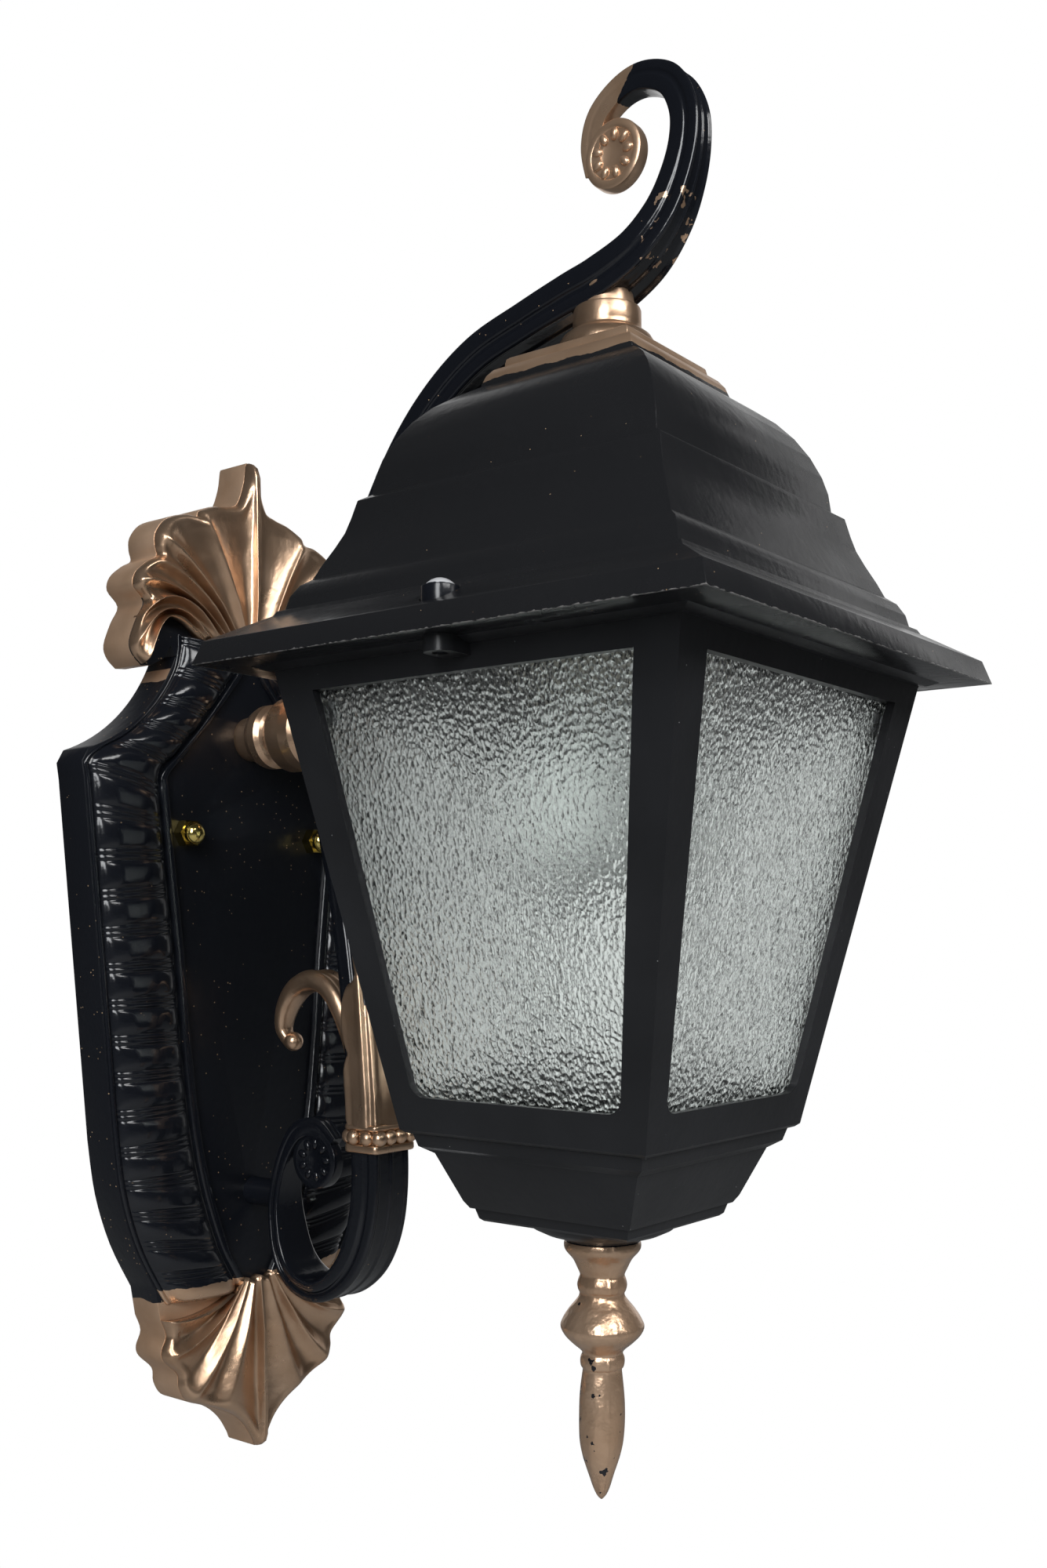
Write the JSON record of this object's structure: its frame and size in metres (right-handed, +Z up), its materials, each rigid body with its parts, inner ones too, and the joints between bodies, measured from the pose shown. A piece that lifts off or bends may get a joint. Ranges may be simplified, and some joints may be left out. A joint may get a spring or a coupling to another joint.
{
  "type": "wall lantern",
  "caption": "Ornate cast wall lantern: a shield plate with scroll arm holds a square tapered lantern with obscure glass panes and a turned finial.",
  "frame": {"origin": "centre of the two wall screw holes, on the wall's face", "axes": "+Y into the wall, -Y out to the lantern, +Z up, +X to the right as seen from the front"},
  "size_m": [0.2, 0.297, 0.5109],
  "materials": {
    "plate_enamel": "gloss",
    "arm_enamel": "gloss",
    "roof_enamel": "satin",
    "cage_enamel": "satin",
    "copper_paint": "metallic satin",
    "brass": "polished",
    "steel": "zinc plated",
    "screw_black": "worn satin",
    "obscure_glass": "pebbled",
    "clear_glass": "clear",
    "porcelain": "glazed"
  },
  "bodies": {
    "root": {"wall_strap": "steel", "strap_stud_left": "steel", "strap_stud_right": "steel", "back_plate": "plate_enamel", "cap_nut_left": "brass", "cap_nut_right": "brass", "terminal_block": "porcelain", "scroll_arm": "arm_enamel", "upper_stay": "copper_paint", "upper_tube": "steel", "upper_tube_nut": "steel", "lower_spacer": "arm_enamel", "lower_screw": "steel", "roof": "roof_enamel", "hanger_tube": "steel", "hanger_washer": "steel", "hanger_nut": "steel", "lampholder_cap": "porcelain", "lampholder_body": "porcelain", "screw_shell": "brass", "centre_contact": "brass", "lamp_bulb": "clear_glass", "cage": "cage_enamel", "glass_front": "obscure_glass", "glass_back": "obscure_glass", "glass_left": "obscure_glass", "glass_right": "obscure_glass", "pane_clips": "steel", "roof_screw_left": "screw_black", "roof_screw_right": "screw_black", "finial": "copper_paint", "finial_stud": "steel", "finial_nut": "steel"}
  },
  "joints": []
}
